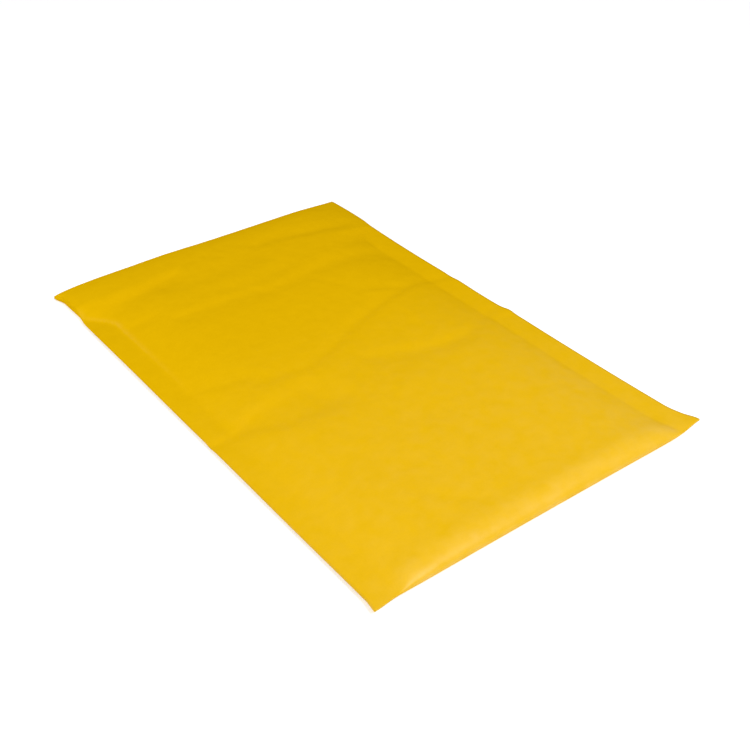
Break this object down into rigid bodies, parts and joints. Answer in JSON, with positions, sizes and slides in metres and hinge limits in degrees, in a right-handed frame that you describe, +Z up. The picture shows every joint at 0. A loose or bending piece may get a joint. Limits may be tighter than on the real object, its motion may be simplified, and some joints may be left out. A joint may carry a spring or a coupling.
{
  "type": "padded envelope",
  "caption": "Closed padded mailing envelope lying face up, with pressed side seams, a rolled padded bottom fold and a flap turned under and glued at the far end.",
  "frame": {"origin": "middle of the footprint, on the surface that the back panel rests on", "axes": "+Z up through the address side, +Y along the length from the padded bottom fold to the flap fold, +X across the width to the right as seen with the bottom fold nearest"},
  "size_m": [0.152, 0.235, 0.007],
  "materials": {
    "yellow_paper": "yellow kraft paper with a slight machine glaze"
  },
  "bodies": {
    "root": {"padded_envelope": "yellow_paper"}
  },
  "joints": []
}
